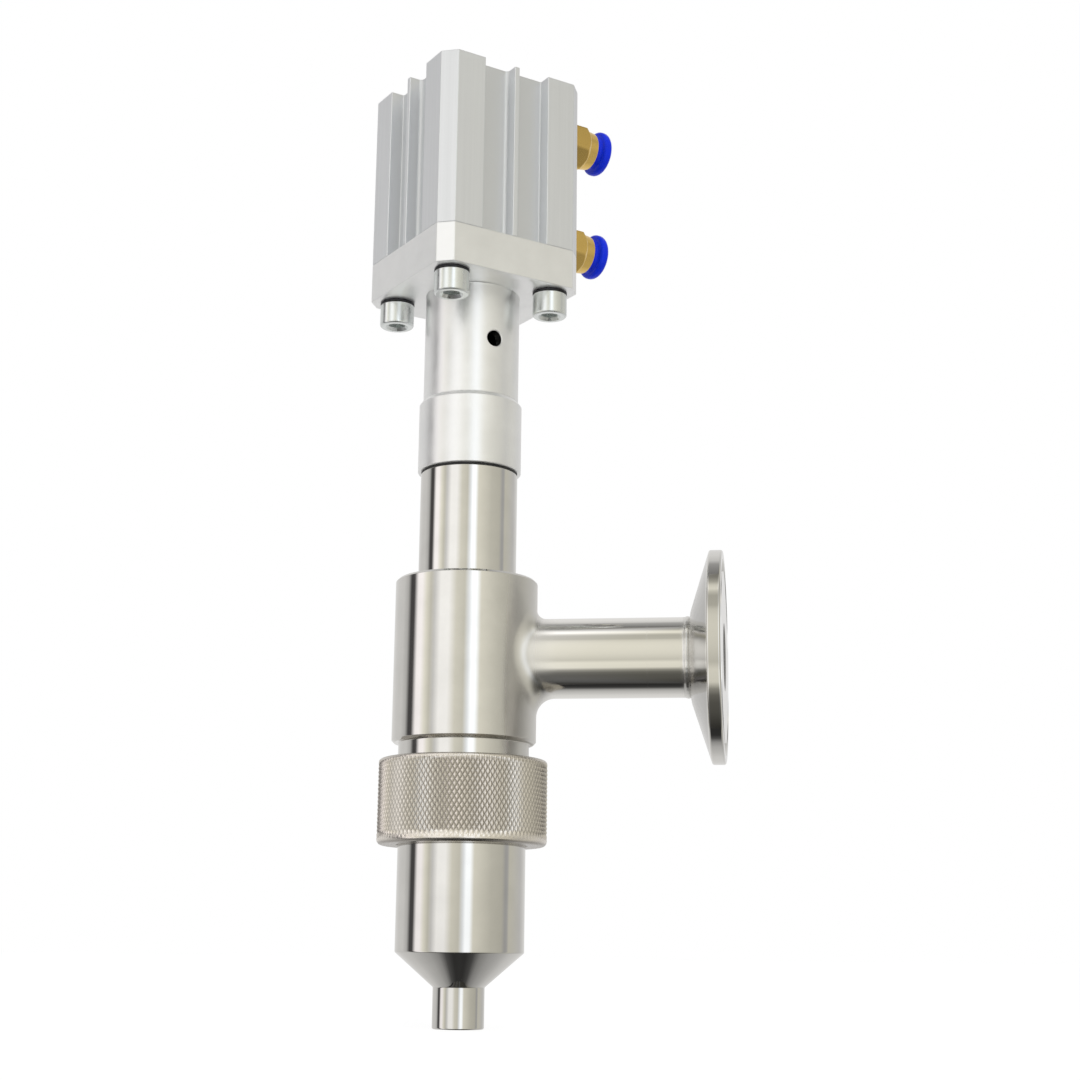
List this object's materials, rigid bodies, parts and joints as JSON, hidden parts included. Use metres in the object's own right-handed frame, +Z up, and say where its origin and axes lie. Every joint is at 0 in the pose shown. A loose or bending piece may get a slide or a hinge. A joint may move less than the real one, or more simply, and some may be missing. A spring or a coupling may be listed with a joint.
{
  "type": "liquid filling nozzle",
  "caption": "Pneumatic shut-off filling nozzle: square air cylinder on a sleeve, tee with side clamp inlet, knurled union nut and tapered outlet barrel.",
  "frame": {"origin": "centre of the outlet mouth, the lowest point of the spout, on the nozzle's axis", "axes": "+Z up along the nozzle's axis to the air cylinder, +X out along the inlet branch; the square cylinder is turned 40.2 degrees about Z from +X towards +Y"},
  "size_m": [0.0882, 0.0552, 0.2329],
  "materials": {
    "anodised_aluminium": "matt anodised extrusion",
    "turned_aluminium": "satin turned",
    "polished_stainless": "mirror polished",
    "satin_stainless": "fine turned satin",
    "knurled_stainless": "diamond knurled",
    "zinc_steel": "bright zinc plated",
    "dark_steel": "blackened spring steel",
    "hard_chrome": "hard chromed and ground",
    "brass": "turned brass",
    "blue_plastic": "moulded, semi-gloss",
    "black_rubber": "moulded rubber",
    "white_plastic": "machined fluoropolymer"
  },
  "bodies": {
    "nozzle_frame": {"cylinder_body": "anodised_aluminium", "rear_cover": "anodised_aluminium", "rear_cover_seal": "black_rubber", "rear_circlip": "dark_steel", "rod_cover": "anodised_aluminium", "rod_cover_seal": "black_rubber", "front_circlip": "dark_steel", "rod_bush": "brass", "rod_seal": "black_rubber", "mount_sleeve": "turned_aluminium", "flange_screws": "zinc_steel", "spring_washers": "dark_steel", "coupling_ring": "turned_aluminium", "coupling_seal": "black_rubber", "upper_barrel": "polished_stainless", "upper_barrel_seal": "black_rubber", "stem_packing": "white_plastic", "packing_spacer": "satin_stainless", "guide_bush": "white_plastic", "tee_body": "satin_stainless", "inlet_pipe": "polished_stainless", "inlet_ferrule": "polished_stainless", "upper_fitting_body": "brass", "upper_fitting_washer": "black_rubber", "upper_hose_seal": "black_rubber", "upper_collet": "satin_stainless", "lower_fitting_body": "brass", "lower_fitting_washer": "black_rubber", "lower_hose_seal": "black_rubber", "lower_collet": "satin_stainless"},
    "valve_line": {"piston": "turned_aluminium", "piston_seal": "black_rubber", "piston_nut": "zinc_steel", "piston_rod": "hard_chrome", "rod_lock_nut": "zinc_steel", "stem_coupling": "satin_stainless", "valve_stem": "polished_stainless", "valve_plug": "polished_stainless", "plug_seal": "black_rubber"},
    "outlet": {"outlet_barrel": "polished_stainless", "barrel_gasket": "white_plastic"},
    "hand_nut": {"union_nut": "knurled_stainless"},
    "upper_release": {"upper_release_collar": "blue_plastic"},
    "lower_release": {"lower_release_collar": "blue_plastic"}
  },
  "joints": [
    {"name": "valve_lift", "type": "slide", "parent": "nozzle_frame", "child": "valve_line", "axis": [0, 0, 1], "range_m": [0, 0.015]},
    {"name": "barrel_drop", "type": "slide", "parent": "nozzle_frame", "child": "outlet", "axis": [0, 0, -1], "range_m": [0, 0.01]},
    {"name": "nut_turn", "type": "hinge", "parent": "outlet", "child": "hand_nut", "pos_m": [0, 0, 0.0515], "axis": [0, 0, -1], "range_deg": [0, 1800]},
    {"name": "upper_release_push", "type": "slide", "parent": "nozzle_frame", "child": "upper_release", "axis": [-0.7638, -0.6455, 0], "range_m": [0, 0.001], "stiffness_N_per_m": 2000},
    {"name": "lower_release_push", "type": "slide", "parent": "nozzle_frame", "child": "lower_release", "axis": [-0.7638, -0.6455, 0], "range_m": [0, 0.001], "stiffness_N_per_m": 2000}
  ],
  "couplings": [
    {"joint": "nut_turn", "follows": "barrel_drop", "rad_per_m": 3141.6}
  ]
}
